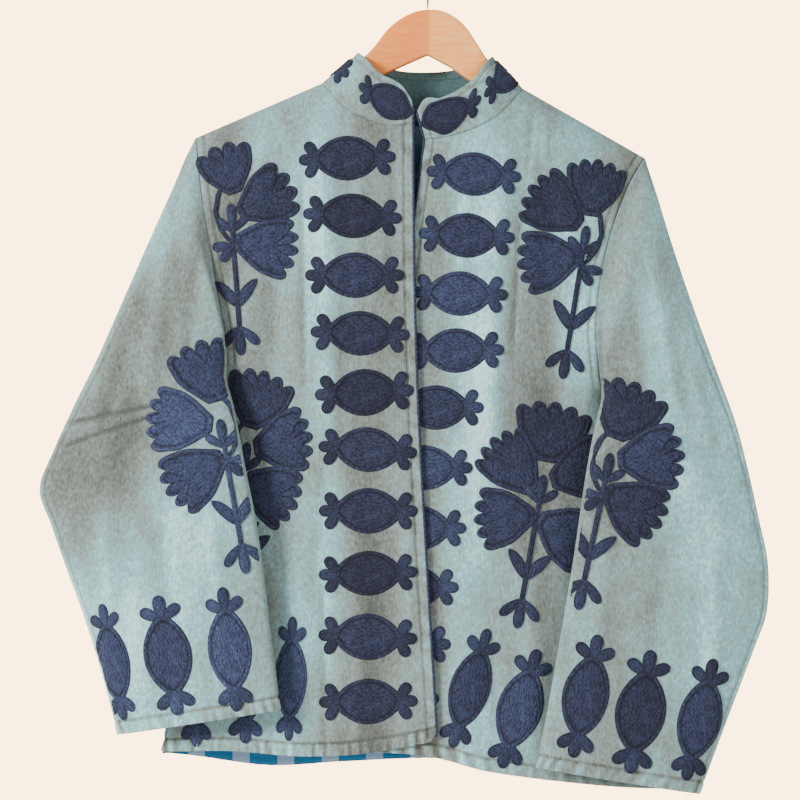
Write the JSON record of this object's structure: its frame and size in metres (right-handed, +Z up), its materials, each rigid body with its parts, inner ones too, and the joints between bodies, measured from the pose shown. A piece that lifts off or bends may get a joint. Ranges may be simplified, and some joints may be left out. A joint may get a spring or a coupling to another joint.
{
  "type": "velvet jacket on a wooden hanger",
  "caption": "Open-front velvet jacket with a stand collar, long wide sleeves and a lined back, hanging flat with its right front lapped over the left on a plain wooden hanger with a wire hook.",
  "frame": {"origin": "Under the top of the hook's bend, where the rail or peg touches it.", "axes": "+Z up, -Y the front of the jacket, -X the wearer's right side."},
  "size_m": [0.6789, 0.0725, 0.7958],
  "materials": {
    "velvet": "cotton velvet with a two-tone nap",
    "lining": "checked cotton",
    "edge_cloth": "rolled cotton strip",
    "wood": "clear satin varnish on beech",
    "wire": "drawn wire"
  },
  "bodies": {
    "root": {"right_front": "velvet", "left_front": "velvet", "back": "velvet", "right_sleeve": "velvet", "left_sleeve": "velvet", "collar": "velvet", "back_lining": "lining", "right_edge_strip": "edge_cloth", "left_edge_strip": "edge_cloth", "hanger": "wood", "hanger_hook": "wire"}
  },
  "joints": []
}
